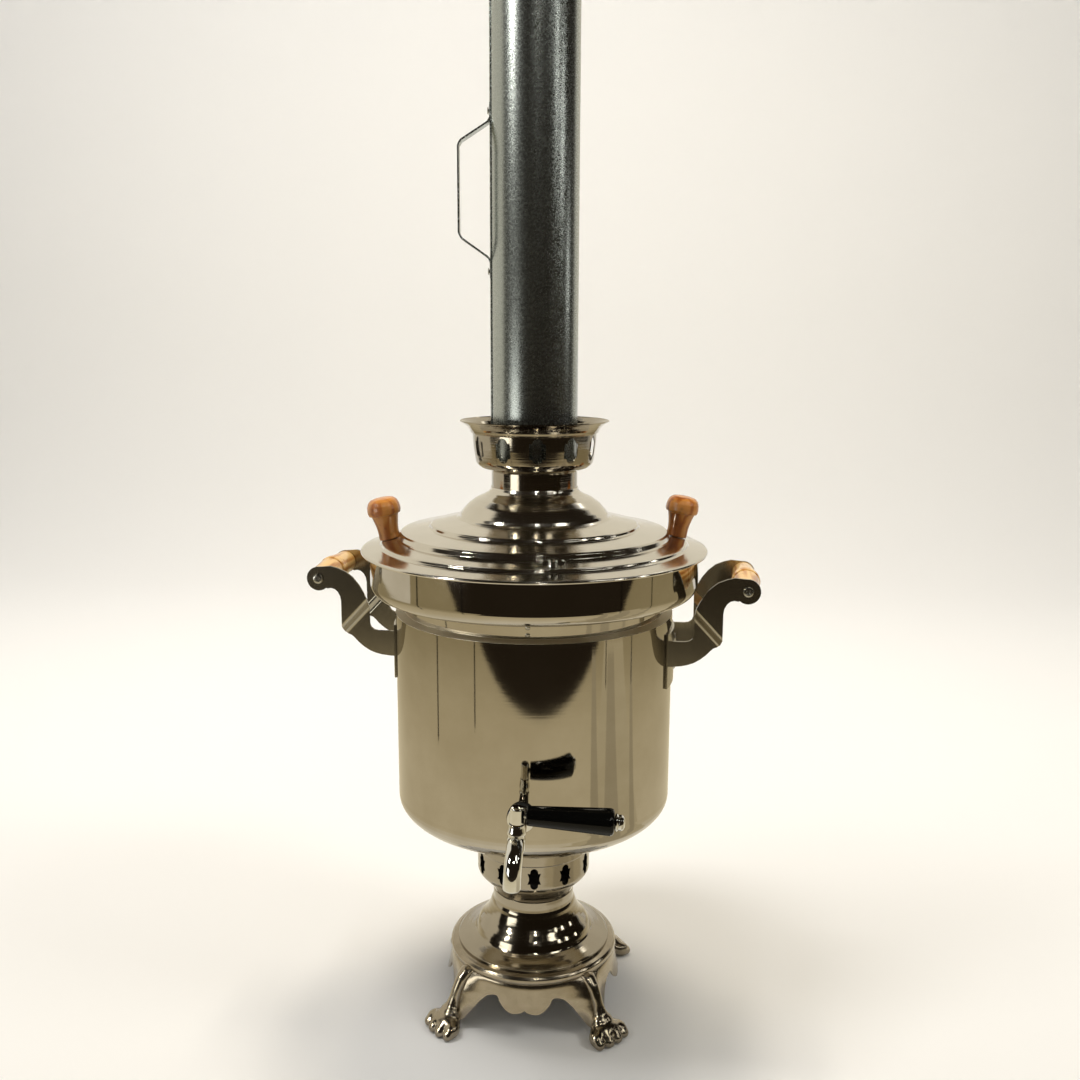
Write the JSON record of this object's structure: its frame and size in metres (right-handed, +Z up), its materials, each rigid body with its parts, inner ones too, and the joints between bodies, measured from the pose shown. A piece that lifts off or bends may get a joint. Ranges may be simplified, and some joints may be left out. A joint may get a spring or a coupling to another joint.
{
  "type": "samovar",
  "caption": "Wood-fired samovar: footed steel water vessel round a fire tube, with a domed lid, teapot crown, chimney pipe, front tap and wooden side handles.",
  "frame": {"origin": "on the table under the middle of the whole outline; the vessel's upright axis is at x = 0, y = 0.02135 m", "axes": "+Z up along the chimney; the tap points along -Y; +X is the side its lever lies on when shut"},
  "size_m": [0.3862, 0.3397, 1.005],
  "materials": {
    "steel": "polished stainless steel with fine spinning lines",
    "plated_screw": "bright zinc plating",
    "flue_steel": "plain rolled stainless steel, heat tinted",
    "iron": "raw casting",
    "galvanised": "galvanised sheet with soft spangle",
    "chrome": "bright chrome plating",
    "brass": "machined",
    "black_plastic": "gloss black phenolic",
    "amber_wood": "turned, clear lacquer",
    "brown_wood": "turned, stained and lacquered",
    "rubber": "matt black"
  },
  "bodies": {
    "vessel": {"base_stand": "steel", "pedestal": "steel", "throat_ring": "steel", "vessel_bottom": "steel", "vessel_wall": "steel", "collar_ring": "steel", "fire_tube": "flue_steel", "grate": "iron", "tap_body": "chrome", "tap_gasket": "rubber", "tap_washer": "steel", "tap_locknut": "brass", "tap_bonnet": "chrome", "tap_oring": "rubber", "bracket_left": "steel", "bracket_right": "steel", "rivet_left_upper": "steel", "rivet_left_lower": "steel", "rivet_right_upper": "steel", "rivet_right_lower": "steel", "grip_left": "amber_wood", "grip_right": "amber_wood", "grip_screw_left_front": "plated_screw", "grip_screw_left_rear": "plated_screw", "grip_screw_right_front": "plated_screw", "grip_screw_right_rear": "plated_screw", "neck_rivet_upper": "steel", "neck_rivet_lower": "steel"},
    "lid": {"lid": "steel", "knob_left": "brown_wood", "knob_right": "brown_wood", "knob_screw_left": "plated_screw", "knob_screw_right": "plated_screw", "vent_post": "steel"},
    "vent": {"vent_cap": "steel"},
    "crown": {"crown": "steel"},
    "chimney": {"chimney_pipe": "galvanised", "pipe_handle": "galvanised", "pipe_rivet_top": "galvanised", "pipe_rivet_bottom": "galvanised"},
    "tap_lever": {"tap_plug": "brass", "tap_hub": "chrome", "tap_rod": "plated_screw", "tap_grip": "black_plastic", "tap_acorn": "chrome"}
  },
  "joints": [
    {"name": "lid_lift", "type": "slide", "parent": "vessel", "child": "lid", "axis": [0, 0, 1], "range_m": [0, 0.12]},
    {"name": "crown_lift", "type": "slide", "parent": "lid", "child": "crown", "axis": [0, 0, 1], "range_m": [0, 0.06]},
    {"name": "pipe_lift", "type": "slide", "parent": "crown", "child": "chimney", "axis": [0, 0, 1], "range_m": [0, 0.08]},
    {"name": "vent_turn", "type": "hinge", "parent": "lid", "child": "vent", "pos_m": [0.02401, -0.10218, 0.42643], "axis": [0.0444, -0.2286, 0.9725], "range_deg": [0, 45]},
    {"name": "tap_turn", "type": "hinge", "parent": "vessel", "child": "tap_lever", "pos_m": [0, -0.14165, 0.224], "axis": [-0.0436, 0, -0.999], "range_deg": [0, 90]}
  ]
}
